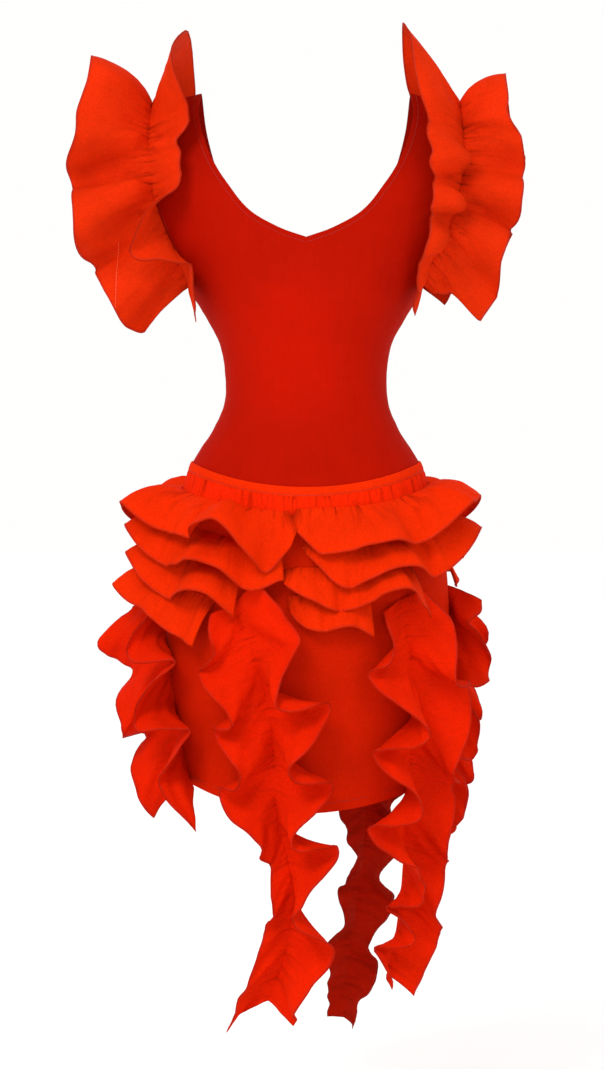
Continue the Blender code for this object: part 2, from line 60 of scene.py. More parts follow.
camera = placed("photoCamera", bpy.data.cameras.new("photoCamera"))
bpy.context.scene.camera = camera
rise = math.radians(studio["elevation"])
towardsCamera = Vector((0, -math.cos(rise), math.sin(rise)))
camera.location = Vector(studio["aim"]) + towardsCamera * studio["distance"]
camera.rotation_euler = (-towardsCamera).to_track_quat("-Z", "Y").to_euler()
camera.data.sensor_fit = "VERTICAL"
camera.data.sensor_height = studio["sensor"]
camera.data.lens = studio["sensor"] * studio["distance"] / studio["heightSeen"]
print("camera set")


# Fabric and thread

wovenLook = {  # sizes of the weave are millimetres, bump depths are metres
    "spread": 0.06, "rough": (0.68, 0.86), "sheen": 0.05, "weave": 0.75, "fleck": 0.10, "weaveDepth": 0.00008,
    "foldDepth": 0.0042, "paintedChestHighlight": 0.0, "hemLine": 0.66, "yoke": 0.0,
}
clothLooks = {  # what each cloth has that isn't the woven look
    # the jersey's glow value paints a highlight on the chest and waist
    "jerseyRed": {"colour": (0.375, 0.0046, 0.0001), "spread": 0.05, "rough": (0.62, 0.76), "sheen": 0.02,
                  "weave": 0.55, "fleck": 0.03, "weaveDepth": 0.00005, "foldDepth": 0.0, "paintedChestHighlight": 0.30,
                  "hemLine": 0.86},
    "ruffleRed": {"colour": (0.70, 0.0205, 0.0003), "sheen": 0.06},
    "sleeveRed": {"colour": (0.62, 0.0215, 0.0016), "spread": 0.11, "sheen": 0.08, "hemLine": 0.62},
    "cascadeRed": {"colour": (0.66, 0.0125, 0.0002), "spread": 0.08, "sheen": 0.04},
    # the skirt's colour darkens below the tiers: painted shade
    "skirtRed": {"colour": (0.74, 0.0150, 0.0002), "foldDepth": 0.0018, "yoke": 0.72},
    # a darker copy of the cascades' red for the back cascade: painted shade
    "tailRedPaintedShade": {"colour": (0.31, 0.0048, 0.0001)},
}
grain = {  # noise scales a metre, and reaches, depths and places in metres
    "slub": 620, "crease": 130, "creaseStretch": (1.0, 0.13, 1.0), "soft": 38, "softDepth": 0.0012, "dye": 16,
    "fleck": 420, "gatherReach": 0.024, "farCrease": 0.10, "creaseShadow": (0.34, 0.50, 0.5, 1.0),
    # the glow values on the next line place the bodice's painted highlight, and the shoulder span below is painted
    # shade
    "rim": (0.0008, 0.0022), "highlightCentre": (-0.006, -0.352), "highlightSize": (0.115, 0.135), "highlightEnd": 1.25,
    # the second span on the next line darkens the skirt below the tiers: painted shade
    "shoulderShade": (-0.16, -0.02, 1.0, 0.78), "paintedLowerShadeSpan": (-0.62, -0.55),
    "sheenTint": (1.0, 0.10, 0.0, 1), "sheenRough": 0.55, "specular": 0.02,
}
threadLooks = {"threadRed": (0.34, 0.008, 0.002), "threadPale": (0.95, 0.16, 0.06)}


class nodeKit:  # short calls for building a material's nodes
    def __init__(self, tree):
        self.tree = tree

    def add(self, kind, **settings):
        made = self.tree.nodes.new(kind)
        for name, value in settings.items():
            setattr(made, name, value)
        return made

    def put(self, socket, value):
        if isinstance(value, bpy.types.NodeSocket):
            self.tree.links.new(value, socket)
        else:
            socket.default_value = value

    def math(self, operation, a, b=0.0):
        made = self.add("ShaderNodeMath", operation=operation)
        for socket, value in zip(made.inputs, (a, b)):
            self.put(socket, value)
        return made.outputs[0]

    def span(self, value, low, high, toLow, toHigh, smooth=False):
        made = self.add("ShaderNodeMapRange", interpolation_type="SMOOTHSTEP" if smooth else "LINEAR")
        for socket, item in zip(made.inputs, (value, low, high, toLow, toHigh)):
            self.put(socket, item)
        return made.outputs[0]

    def noise(self, vector, scale, detail=2.0, roughness=0.5, distortion=0.0):
        made = self.add("ShaderNodeTexNoise")
        self.put(made.inputs["Vector"], vector)
        sizes = {"Scale": scale, "Detail": detail, "Roughness": roughness, "Distortion": distortion}
        for name, value in sizes.items():
            made.inputs[name].default_value = value
        return made.outputs["Fac"]

    def split(self, vector):
        made = self.add("ShaderNodeSeparateXYZ")
        self.put(made.inputs[0], vector)
        return made.outputs

    def bump(self, height, depth, strength, over=None):
        made = self.add("ShaderNodeBump")
        made.inputs["Distance"].default_value = depth
        made.inputs["Strength"].default_value = strength
        self.put(made.inputs["Height"], height)
        if over is not None:
            self.put(made.inputs["Normal"], over)
        return made.outputs[0]

    def tinted(self, colour, tone):
        made = self.add("ShaderNodeVectorMath", operation="SCALE")
        made.inputs[0].default_value = colour
        self.put(made.inputs["Scale"], tone)
        return made.outputs[0]


def newMaterial(name):
    made = bpy.data.materials.new(name)
    made.use_nodes = True
    kit = nodeKit(made.node_tree)
    return made, kit, made.node_tree.nodes["Principled BSDF"], kit.add("ShaderNodeTexCoord").outputs["Object"]


def clothMaterial(name, look):
    made, kit, shader, place = newMaterial(name)
    uv = kit.add("ShaderNodeUVMap", uv_map="cutPattern").outputs[0]
    edge = kit.add("ShaderNodeAttribute", attribute_name="edgeDistance").outputs["Fac"]
    root = kit.add("ShaderNodeAttribute", attribute_name="rootDistance").outputs["Fac"]

    # warp and weft, from the flat cloth's own coordinates
    flat = kit.split(uv)
    turns = 2 * math.pi / (look["weave"] * mm)
    warp = kit.math("SINE", kit.math("MULTIPLY", flat[0], turns))
    weft = kit.math("SINE", kit.math("MULTIPLY", flat[1], turns))
    slub = kit.noise(place, grain["slub"])
    weave = kit.math("ADD", kit.math("MULTIPLY", warp, weft), kit.math("MULTIPLY", slub, 1.6))

    # creases that run from the gathers and fade with the distance from them
    stretch = kit.add("ShaderNodeMapping")
    kit.put(stretch.inputs["Vector"], uv)
    stretch.inputs["Scale"].default_value = grain["creaseStretch"]
    crease = kit.noise(stretch.outputs[0], grain["crease"], 3.0, 0.55, 0.4)
    near = kit.math("EXPONENT", kit.math("MULTIPLY", root, -1 / grain["gatherReach"]))
    creases = kit.math("MULTIPLY", crease, kit.math("ADD", near, grain["farCrease"]))
    surface = kit.bump(weave, look["weaveDepth"], 0.7)
    surface = kit.bump(kit.noise(place, grain["soft"], 3.0), grain["softDepth"], 0.45, surface)
    if look["foldDepth"]:
        surface = kit.bump(creases, look["foldDepth"], 0.9, surface)
    kit.put(shader.inputs["Normal"], surface)

    # colour: dye that varies a little, flecks, a darker rim along each hem, and shadow in the gathers' creases
    dye = kit.noise(place, grain["dye"], 3.0, 0.55)
    fleck = kit.noise(place, grain["fleck"], 2.0, 0.6)
    tone = kit.span(dye, 0.3, 0.7, 1 - look["spread"], 1 + look["spread"])
    tone = kit.math("MULTIPLY", tone, kit.span(fleck, 0.3, 0.7, 1 - look["fleck"], 1 + look["fleck"]))
    rim = kit.span(edge, *grain["rim"], look["hemLine"], 1.0, True)
    deep = kit.span(crease, *grain["creaseShadow"], True)
    gathered = kit.math("ADD", 1.0, kit.math("MULTIPLY", near, kit.math("SUBTRACT", deep, 1.0)))
    factors = [rim, gathered]
    if look["paintedChestHighlight"]:  # painted highlight: the jersey's colour is paler round the middle of the chest and waist, and painted shade darkens it towards the shoulders
        spot = kit.split(place)
        ways = []
        for value, centre, size in zip((spot[0], spot[2]), grain["highlightCentre"], grain["highlightSize"]):
            ways.append(kit.math("POWER", kit.math("DIVIDE", kit.math("SUBTRACT", value, centre), size), 2.0))
        reach = kit.math("SQRT", kit.math("ADD", *ways))
        factors.append(kit.span(reach, 0.0, grain["highlightEnd"], 1 + look["paintedChestHighlight"], 1.0, True))
        factors.append(kit.span(spot[2], *grain["shoulderShade"], True))
    if look["yoke"]:  # painted shade: the skirt's colour is darker below the tiers
        factors.append(kit.span(kit.split(place)[2], *grain["paintedLowerShadeSpan"], look["yoke"], 1.0, True))
    for factor in factors:
        tone = kit.math("MULTIPLY", tone, factor)
    kit.put(shader.inputs["Base Color"], kit.tinted(look["colour"], tone))
    kit.put(shader.inputs["Roughness"], kit.span(slub, 0.3, 0.7, *look["rough"]))
    shader.inputs["Specular IOR Level"].default_value = grain["specular"]
    shader.inputs["Sheen Weight"].default_value = look["sheen"]
    shader.inputs["Sheen Roughness"].default_value = grain["sheenRough"]
    shader.inputs["Sheen Tint"].default_value = grain["sheenTint"]
    made.diffuse_color = (*look["colour"], 1)
    return made


def threadMaterial(name, colour):
    made, kit, shader, place = newMaterial(name)
    ply = kit.noise(place, 1500)
    kit.put(shader.inputs["Base Color"], kit.tinted(colour, kit.span(ply, 0.3, 0.7, 0.8, 1.15)))
    kit.put(shader.inputs["Roughness"], kit.span(ply, 0.3, 0.7, 0.45, 0.6))
    made.diffuse_color = (*colour, 1)
    return made


fabrics = {name: clothMaterial(name, {**wovenLook, **look}) for name, look in clothLooks.items()}
threads = {name: threadMaterial(name, colour) for name, colour in threadLooks.items()}
print("materials made:", len(fabrics) + len(threads))


# The figure's surface, which every panel lies on

figure = {
    "sections": [  # height, half width, front depth, back depth
        (-283, 150, 112, 100), (-310, 134, 106, 93), (-345, 116, 96, 86), (-389, 109.5, 86, 82),
        (-425, 112, 86, 86), (-460, 127, 91, 95), (-487, 144, 99, 104), (-507, 155, 105, 110),
        (-560, 171, 115, 124), (-620, 185, 122, 134), (-700, 191, 125, 136), (-800, 186, 123, 128),
        (-900, 174, 118, 120), (-1000, 163, 114, 116), (-1320, 150, 108, 112),
    ],
    "underarm": -283.0,
    "shoulderSlope": 22.0,
}


def throughRows(rows, at):  # columns of a table at any place, on a smooth curve through its rows
    rows = np.array(sorted(rows), float)
    x, y = rows[:, 0], rows[:, 1:]
    at = np.clip(np.asarray(at, float), x[0], x[-1])
    slope = np.empty_like(y)
    slope[1:-1] = (y[2:] - y[:-2]) / (x[2:] - x[:-2])[:, None]
    slope[0] = (y[1] - y[0]) / (x[1] - x[0])
    slope[-1] = (y[-1] - y[-2]) / (x[-1] - x[-2])
    i = np.clip(np.searchsorted(x, at, side="right") - 1, 0, len(x) - 2)
    gap = (x[i + 1] - x[i])[..., None]
    t = (at - x[i])[..., None] / gap
    return (
        (2 * t**3 - 3 * t**2 + 1) * y[i]
        + (t**3 - 2 * t**2 + t) * slope[i] * gap
        + (3 * t**2 - 2 * t**3) * y[i + 1]
        + (t**3 - t**2) * slope[i + 1] * gap
    )


def unit(v):
    return v / np.maximum(np.linalg.norm(v, axis=-1, keepdims=True), 1e-9)


def onFigure(angle, height):
    size = throughRows(figure["sections"], height)
    depth = np.where(np.cos(angle) > 0, size[..., 1], size[..., 2])
    return np.stack([size[..., 0] * np.sin(angle), -depth * np.cos(angle), height], -1)


def overFigure(angle, height, out=0.0):  # points held off the figure, and the way out at each
    angle, height = np.broadcast_arrays(np.asarray(angle, float), np.asarray(height, float))
    around = onFigure(angle + 0.01, height) - onFigure(angle - 0.01, height)
    up = onFigure(angle, height + 1.0) - onFigure(angle, height - 1.0)
    normal = unit(np.cross(around, up))
    out = np.broadcast_to(np.asarray(out, float), angle.shape)
    return onFigure(angle, height) + normal * out[..., None], normal


def lengthsAlong(points):
    return np.concatenate([[0], np.cumsum(np.linalg.norm(np.diff(points, axis=0), axis=1))])


def gridNormals(grid):
    across = np.empty_like(grid)
    across[:, 1:-1] = grid[:, 2:] - grid[:, :-2]
    across[:, 0], across[:, -1] = grid[:, 1] - grid[:, 0], grid[:, -1] - grid[:, -2]
    along = np.empty_like(grid)
    along[1:-1] = grid[2:] - grid[:-2]
    along[0], along[-1] = grid[1] - grid[0], grid[-1] - grid[-2]
    return unit(np.cross(across, along))


def cloud(points, size, seed):  # soft noise from -1 to 1 at points given in mm
    shift = Vector((seed * 17.31, seed * 5.77, seed * 9.13))
    flat = points.reshape(-1, points.shape[-1])
    found = [noise.noise(Vector(p) / size + shift) for p in flat.tolist()]
    return np.array(found).reshape(points.shape[:-1]) * 1.6


def uvCloud(along, across, alongSize, acrossSize, seed):
    points = np.stack([along / alongSize, across / acrossSize, np.zeros_like(along)], -1)
    return cloud(points, 1.0, seed)


def joinedRim(faces):  # directed edges that belong to one face only
    edges = {(a, b) for face in faces for a, b in zip(face, face[1:] + face[:1])}
    return sorted(edge for edge in edges if edge[::-1] not in edges)


def clothPiece(name, outer, inner, uv, edge, root, fabric, closed=False, gap=None, shared=()):
    rows, columns = outer.shape[:2]
    index = np.arange(rows * columns).reshape(rows, columns)
    for i in shared:  # rows whose two middle columns are one line
        index[i, gap + 1] = index[i, gap]
    faces = []
    for i in range(rows - 1):
        for j in range(columns if closed else columns - 1):
            if j == gap:
                continue
            k = (j + 1) % columns
            corners = [int(index[i, j]), int(index[i, k]), int(index[i + 1, k]), int(index[i + 1, j])]
            faces.append(list(dict.fromkeys(corners)))
    count = rows * columns
    rims = [[b, a, a + count, b + count] for a, b in joinedRim(faces)]
    backs = [[v + count for v in reversed(face)] for face in faces]
    points = np.concatenate([outer.reshape(-1, 3), inner.reshape(-1, 3)]) * mm
    values = {"edgeDistance": np.tile(edge.reshape(-1), 2) * mm, "rootDistance": np.tile(root.reshape(-1), 2) * mm}
    flat = np.tile(uv.reshape(-1, 2), (2, 1)) * mm
    faces = faces + backs + rims
    used = np.unique(np.concatenate([np.array(face) for face in faces]))
    renumber = np.full(2 * count, -1)
    renumber[used] = np.arange(len(used))
    mesh = bpy.data.meshes.new(name)
    mesh.from_pydata(points[used].tolist(), [], [[int(renumber[v]) for v in face] for face in faces])
    corner = np.empty(len(mesh.loops), np.int32)
    mesh.loops.foreach_get("vertex_index", corner)
    layer = mesh.uv_layers.new(name="cutPattern")
    layer.data.foreach_set("uv", flat[used][corner].astype(np.float32).reshape(-1))
    for label, value in values.items():
        mesh.attributes.new(label, "FLOAT", "POINT").data.foreach_set("value", value[used].astype(np.float32))
    mesh.materials.append(fabric)
    mesh.shade_smooth()
    mesh.set_sharp_from_angle(angle=math.radians(55))
    mesh.update()
    return placed(name, mesh)


# Stitches, a run of short threads along a line

stitchSizes = {"pitch": 3.5, "length": 2.5, "thread": 0.30, "sides": 5}


def stitchTree():
    tree = bpy.data.node_groups.new("stitchRun", "GeometryNodeTree")
    kinds = {"Line": "Geometry", "Pitch": "Float", "Length": "Float", "Thread": "Float", "Sides": "Int",
             "Finish": "Material"}
    for label, kind in kinds.items():
        tree.interface.new_socket(name=label, in_out="INPUT", socket_type="NodeSocket" + kind)
    tree.interface.new_socket(name="Stitches", in_out="OUTPUT", socket_type="NodeSocketGeometry")
    add = tree.nodes.new
    given, result = add("NodeGroupInput"), add("NodeGroupOutput")
    curve = add("GeometryNodeMeshToCurve")
    spaced = add("GeometryNodeResampleCurve")
    spaced.mode = "LENGTH"
    thread = add("GeometryNodeMeshCylinder")
    tangent = add("GeometryNodeInputTangent")
    turn = add("FunctionNodeAlignRotationToVector")
    turn.axis = "Z"
    copies = add("GeometryNodeInstanceOnPoints")
    real = add("GeometryNodeRealizeInstances")
    finish = add("GeometryNodeSetMaterial")
    for start, output, end, socket in (
        (given, "Line", curve, "Mesh"), (curve, "Curve", spaced, "Curve"), (given, "Pitch", spaced, "Length"),
        (given, "Length", thread, "Depth"), (given, "Thread", thread, "Radius"),
        (given, "Sides", thread, "Vertices"), (tangent, "Tangent", turn, "Vector"),
        (spaced, "Curve", copies, "Points"), (thread, "Mesh", copies, "Instance"),
        (turn, "Rotation", copies, "Rotation"), (copies, "Instances", real, "Geometry"),
        (real, "Geometry", finish, "Geometry"), (given, "Finish", finish, "Material"),
        (finish, "Geometry", result, "Stitches"),
    ):
        tree.links.new(start.outputs[output], end.inputs[socket])
    return tree


stitchRun = stitchTree()


def stitched(name, lines, pitch=1.0, thread="threadRed"):
    points, edges = [], []
    for line in lines:
        start = len(points)
        points += [tuple(p * mm) for p in line]
        edges += [(k, k + 1) for k in range(start, len(points) - 1)]
    mesh = bpy.data.meshes.new(name + "Line")
    mesh.from_pydata(points, edges, [])
    guide = placed(name + "Line", mesh)
    modifier = guide.modifiers.new("stitches", "NODES")
    modifier.node_group = stitchRun
    sizes = {"Pitch": stitchSizes["pitch"] * pitch * mm, "Length": stitchSizes["length"] * pitch * mm,
             "Thread": stitchSizes["thread"] * mm, "Sides": stitchSizes["sides"], "Finish": threads[thread]}
    for item in stitchRun.interface.items_tree:
        if item.name in sizes:
            modifier[item.identifier] = sizes[item.name]
    bpy.context.view_layer.update()
    shown = guide.evaluated_get(bpy.context.evaluated_depsgraph_get())
    result = bpy.data.meshes.new_from_object(shown)
    guide.modifiers.remove(modifier)
    bpy.data.objects.remove(guide)
    result.name = name
    return placed(name, result)


finished = []


def settle(piece, node, cut, extras):  # the calls that every cloth piece takes
    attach(piece, "root")
    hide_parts(node)
    for extra in extras:
        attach(extra, "root")
    width, length, *share = cut  # the share is of the rectangle, where the cut isn't all of it
    flatArea = width * length * (share[0] if share else 1.0)
    area = sum(face.area for face in piece.data.polygons) / 2
    finished.append((piece.name, round(area, 4), round(area / flatArea, 2)))


# Skirt

skirt = {
    "gap": 0.5, "wall": 1.3, "solidWall": 2.0, "bandHeight": 13.0, "hemFront": -968.0, "hemSideRise": 38.0,
    "columns": 250, "drape": 3.2, "drapeTop": -560, "drapeDepth": 400,
    "rootRows": [0, 1.0, 2.2, 3.6, 5.2, 7, 9, 11.5, 14.5, 18, 22, 27, 33, 40], "rows": 46, "girthHeight": -620.0,
    "shirring": 1.3, "shirringReach": 15.0, "longFold": 0.8, "hemDepth": 14.0, "hemSwell": 0.35,
    "seamDip": 0.45, "seamGap": 0.02,
    "cuts": {"skirtFront": (0.51, 0.43, 0.94), "skirtBack": (0.53, 0.43, 0.96)},
}


def bandTop(angle):
    return -503.0 - 30.0 * np.maximum(0.0, np.cos(angle)) ** 2


def drapeAt(angle, height):  # long soft folds that deepen towards the hem
    fall = np.clip((skirt["drapeTop"] - height) / skirt["drapeDepth"], 0, 1) ** 1.2
    wave = 0.45 * np.sin(9 * angle + 0.7) + 0.35 * np.sin(13 * angle + 2.1) + 0.4 * np.sin(5 * angle + 4.0)
    return skirt["drape"] * fall * wave


def skirtPiece(name, node, face):
    first, last = (-90, 90) if face < 0 else (90, 270)
    angle = np.radians(np.linspace(first, last, skirt["columns"] + 1))
    near = np.array(skirt["rootRows"])
    far = np.linspace(0, 1, skirt["rows"])[1:-3]
    top = bandTop(angle) - skirt["bandHeight"] - 0.1
    hem = skirt["hemFront"] + skirt["hemSideRise"] * np.sin(angle) ** 2
    rowsDown = [top - d for d in near] + [top - near[-1] + (hem - top + near[-1]) * t for t in far]
    rowsDown += [hem + up for up in (skirt["hemDepth"] + 1.2, skirt["hemDepth"], 6, 0.6, 0)]
    height = np.array(rowsDown[::-1])
    turn = np.broadcast_to(angle, height.shape)
    below = top - height
    girth = lengthsAlong(onFigure(angle, np.full_like(angle, skirt["girthHeight"])))
    around = np.broadcast_to(girth, height.shape)
    pucker = uvCloud(around, below, 6.4, 46.0, 3) + 0.35 * uvCloud(around, below, 3.4, 30.0, 4)
    puckers = skirt["shirring"] * pucker * np.exp(-below / skirt["shirringReach"]) * np.clip(below / 1.5, 0.15, 1)
    long = skirt["longFold"] * uvCloud(around, below, 26.0, 190.0, 5) * np.clip(below / 60, 0, 1)
    edge = height - hem
    hemSwell = skirt["hemSwell"] * np.clip((skirt["hemDepth"] + 1.2 - edge) / 1.2, 0, 1)
    side = np.minimum(turn - angle[0], angle[-1] - turn) * 180
    seam = -skirt["seamDip"] * np.clip(1 - side / 2.5, 0, 1)
    lying = skirt["gap"] + skirt["solidWall"]
    out = lying + drapeAt(turn, height) + puckers + long + seam
    outer = overFigure(turn, height, out + hemSwell)[0]
    inner = overFigure(turn, height, out - skirt["wall"] - hemSwell * 0.5)[0]
    apart = np.array([0, face * skirt["seamGap"], 0])
    uv = np.stack([around, below], -1)
    fromHem = np.where(edge > 9, edge, edge + 100)
    made = clothPiece(name, outer + apart, inner + apart, uv, fromHem, below + 3, fabrics["skirtRed"])
    sewn = hem + skirt["hemDepth"]
    hemLine = overFigure(angle, sewn - 1.5, lying + drapeAt(angle, sewn) + 0.45)[0]
    stitches = stitched(name + "HemStitches", [hemLine])
    settle(made, node, skirt["cuts"][name], [stitches])


# Waistband

band = {
    "columns": 480, "wall": 2.6, "height": 13.0, "gap": 0.3, "swell": 0.7, "pucker": 0.28, "radius": 137.0,
    "levels": [1.0, 0.95, 0.87, 0.82, 0.70, 0.52, 0.34, 0.18, 0.06, 0.0],
    "groove": 0.55, "grooveLevel": 0.845, "grooveWidth": 0.035, "cut": (0.90, 0.016),
}


def waistCasing():
    angle = np.linspace(0, 2 * math.pi, band["columns"], endpoint=False) - math.pi
    level = np.array(band["levels"])[:, None]
    turn = np.broadcast_to(angle, (len(level), len(angle)))
    height = bandTop(turn) - level * band["height"]
    swell = band["swell"] * np.sin(math.pi * level) ** 0.5
    groove = -band["groove"] * np.exp(-(((level - band["grooveLevel"]) / band["grooveWidth"]) ** 2))
    girth = turn * band["radius"]
    loop = np.stack([np.cos(turn) * band["radius"], np.sin(turn) * band["radius"], height * 0.25], -1)
    puckers = band["pucker"] * cloud(loop, 4.2, 7) * np.clip(level * 1.6, 0.25, 1)
    face = band["gap"] + band["wall"] * 0.72
    outer = overFigure(turn, height, face + swell + groove + puckers)[0]
    inner = overFigure(turn, height, np.full_like(turn, band["gap"]))[0]
    uv = np.stack([girth, np.broadcast_to(level * band["height"], girth.shape)], -1)
    far = np.full_like(turn, 60.0)
    made = clothPiece("waistCasing", outer, inner, uv, far, far, fabrics["ruffleRed"], closed=True)
    ring = overFigure(angle, bandTop(angle) - band["grooveLevel"] * band["height"], face + 0.30)[0]
    stitches = stitched("waistCasingStitches", [np.concatenate([ring, ring[:1]])], 0.8)
    settle(made, "waistband", band["cut"], [stitches])


# Bodice

bodice = {
    "wall": 1.2, "tuck": 26.0, "quarter": 46, "rowsBelow": 64, "rowsAbove": 84, "foldedEdge": 7.0,
    "edgeSwell": 0.35, "edgeDrop": 0.4, "soft": (0.7, 70.0, 11), "fine": (0.35, 24.0, 12), "seamGap": 0.02,
    "neckRows": (0, 0.25, 0.7, 1.3, 2.0, 3.0), "shoulderRows": (0.9985, 0.995),
    "frontNeck": [(-201, 0), (-189, 34), (-166, 74), (-130, 104), (-100, 123), (-60, 138), (-25, 144), (0, 141)],
    "backNeck": [(-232, 0), (-224, 40), (-195, 78), (-150, 106), (-100, 124), (-50, 136), (0, 141)],
    "armhole": [(-283, 150), (-250, 163), (-200, 186), (-150, 203), (-100, 211), (-50, 212), (0, 208)],
    "armholeOpening": [(-283, 1.0), (-240, 0.93), (-190, 0.885), (-100, 0.87), (0, 0.88)],
    "cuts": {"bodiceFront": (0.46, 0.56, 0.68), "bodiceBack": (0.46, 0.56, 0.61)},
}


def chestPoints(face, across, rise):  # across is 0 at the neck and 1 at the armhole, rise is 1 at the shoulder seam
    across, rise = np.broadcast_arrays(np.asarray(across, float), np.asarray(rise, float))
    nominal = figure["underarm"] * (1 - rise)
    neck = bodice["frontNeck"] if face < 0 else bodice["backNeck"]
    inner = np.where(nominal > neck[0][0], throughRows(neck, nominal)[..., 0], 0.0)
    outer = throughRows(bodice["armhole"], nominal)[..., 0]
    x = inner + across * (outer - inner)
    half = outer / throughRows(bodice["armholeOpening"], nominal)[..., 0]
    depth = figure["sections"][0][2 if face < 0 else 3]
    y = face * depth * (1 - rise**2.6) ** 0.6 * np.sqrt(np.maximum(0.0, 1 - (x / half) ** 2))
    top = np.where(rise > 0, -figure["shoulderSlope"] * np.maximum(0.0, (x - 120) / 90), 0.0)
    return np.stack([x, y, nominal + top * rise**2], -1)


def bodicePiece(name, node, face):
    neck = bodice["frontNeck"] if face < 0 else bodice["backNeck"]
    quarter = np.linspace(0, math.pi / 2, bodice["quarter"] + 1)
    turned = quarter if face < 0 else math.pi - quarter
    levels = np.linspace(0, 1, bodice["rowsBelow"] + 1)[:-1]
    bottom = bandTop(turned) - bodice["tuck"]
    heightBelow = bottom + levels[:, None] * (figure["underarm"] - bottom)
    below = onFigure(np.broadcast_to(turned, heightBelow.shape), heightBelow)
    neckRise = 1 - neck[0][0] / figure["underarm"]
    rises = set(np.linspace(0, 1, bodice["rowsAbove"] + 1)) | set(bodice["shoulderRows"])
    rises |= {neckRise + d / -figure["underarm"] for d in bodice["neckRows"]}
    above = chestPoints(face, np.sin(quarter)[None, :], np.array(sorted(rises))[:, None])
    half = np.concatenate([below, above])
    half[..., 1] += face * bodice["seamGap"]
    other = half * np.array([-1, 1, 1])
    grid = np.concatenate([other[:, ::-1], half] if face < 0 else [half[:, ::-1], other], 1)
    middle, start = bodice["quarter"], bodice["rowsBelow"]
    shared = [i for i in range(len(grid)) if grid[i, middle, 2] <= neck[0][0] + 0.01]
    split = [i for i in range(len(grid)) if i not in shared]
    # each half has its own directions, and the centre line takes their mean below the neck
    normal = np.concatenate([gridNormals(grid[:, : middle + 1]), gridNormals(grid[:, middle + 1 :])], 1)
    for i in shared:
        normal[i, middle] = normal[i, middle + 1] = unit(normal[i, middle] + normal[i, middle + 1])
    level = np.array([1, 0, 1])
    for j in (0, -1):
        normal[: start + 1, j] = unit(normal[: start + 1, j] * level)
    normal[-1] = unit(normal[-1] * level)
    # distance from the neck and armhole edges, for the folded edge
    free = [grid[i, middle + s] for i in split for s in (0, 1)]
    free += [grid[i, middle] for i in shared[-1:]]
    free += [grid[i, j] for i in range(start, len(grid)) for j in (0, -1)]
    free = np.array(free)
    flat = grid.reshape(-1, 3)
    parts = [flat[k : k + 2000, None] - free[None] for k in range(0, len(flat), 2000)]
    edge = np.concatenate([np.linalg.norm(part, axis=-1).min(1) for part in parts]).reshape(grid.shape[:2])
    swell = bodice["edgeSwell"] * np.clip((bodice["foldedEdge"] + 1.5 - edge) / 3.0, 0, 1)
    swell = swell - bodice["edgeDrop"] * np.clip(1 - edge / 1.2, 0, 1)
    (soft, softSize, softSeed), (fine, fineSize, fineSeed) = bodice["soft"], bodice["fine"]
    relief = soft * cloud(grid, softSize, softSeed) + fine * cloud(grid * np.array([1, 1, 2.2]), fineSize, fineSeed)
    relief = relief * (np.clip(edge / 20, 0, 1) * np.clip((grid[..., 2] + 535) / 60, 0, 1))
    outer = grid + normal * (swell + relief)[..., None]
    inner = grid + normal * (relief - bodice["wall"] - np.maximum(swell, 0))[..., None]
    uv = np.stack([np.arctan2(grid[..., 0], -face * grid[..., 1] + 30) * 130, grid[..., 2]], -1)
    made = clothPiece(name, outer, inner, uv, edge + 100 * (edge > 12), np.full(edge.shape, 60.0),
                      fabrics["jerseyRed"], gap=middle, shared=shared)
    mesh = made.data
    surface = BVHTree.FromPolygons([v.co for v in mesh.vertices], [tuple(p.vertices) for p in mesh.polygons])
    neckRows, armRows = [shared[-1]] + split, list(range(start, len(grid)))
    runs = []  # edge by edge: its rows, its column, and which way the cloth lies
    for rows, column, way in ((neckRows, middle, -1), (neckRows, middle + 1, 1), (armRows, 0, 1),
                              (armRows, 2 * middle + 1, -1)):
        path = grid[rows, column]
        tangent = unit(np.gradient(path, axis=0))
        inside = unit(grid[rows, column + (2 if column == 0 else way)] - path)
        inside = unit(inside - tangent * (inside * tangent).sum(-1, keepdims=True))
        run = []
        for point, into in zip(path + inside * bodice["foldedEdge"], normal[rows, column]):
            hit, facing = surface.find_nearest(Vector((point + into * 1.0) * mm))[:2]
            run.append(np.array(hit) / mm + np.array(facing) * 0.12)
        runs.append(np.array(run)[1:-1])
    stitches = stitched(name + "EdgeStitches", runs, 0.85)
    settle(made, node, bodice["cuts"][name], [stitches])


# Ruffles: a sewn line over the cloth, and rows of folds that say how the strip leaves it

ruffles = {  # each "Grain" is the size of its noise along and across the strip
    "wall": 1.0, "hemWall": 1.7, "hem": 2.7, "rootGap": 0.3, "solidWall": 1.6, "samples": 481, "step": 3.5,
    "parts": 96, "cell": 4.2, "mostCells": 40, "corner": 28.0, "rootReach": 22, "bunchGrain": (34.0, 1.0),
    "pucker": 2.7, "puckerReach": 27.0, "puckerGrain": (7.2, 70.0), "drag": 4.2, "dragGrain": (17.0, 95.0),
    "flutter": 2.8, "flutterReach": 45, "flutterGrain": (15.0, 80.0), "wrinkle": 0.55, "wrinkleGrain": (8.0, 17.0),
    "pleatWidth": (5.0, 0.07), "ridge": (1.7, 0.6), "pull": 1.3, "pullWidth": 1.2, "pullReach": 75,
}
styles = {  # tilt of the sewn end and of the free end, for a flat and a standing fold, and the sideways curl
    "tier": (28, 98, 6, 30, 7),
    "cascade": (14, 64, 8, 88, 4),
    "outer": (20, 84, 12, 18, 5),
    "inner": (20, 78, 8, 110, 4),
    "rolled": (20, 100, 8, -60, 3),
}


def foldsAt(rows, place):
    rows = np.array([list(row) + [0] * (5 - len(row)) for row in rows], float)
    x = rows[:, 0]
    inside = np.clip(place, x[0], x[-1])
    i = np.clip(np.searchsorted(x, inside, side="left") - 1, 0, len(x) - 2)
    t = (inside - x[i]) / (x[i + 1] - x[i])
    ease = ((1 - np.cos(math.pi * t)) / 2)[:, None]
    curl = np.sin(math.pi * t) * np.clip(2 * (rows[i, 1] - rows[i + 1, 1]), -1, 1)
    return rows[i] + (rows[i + 1] - rows[i]) * ease, curl


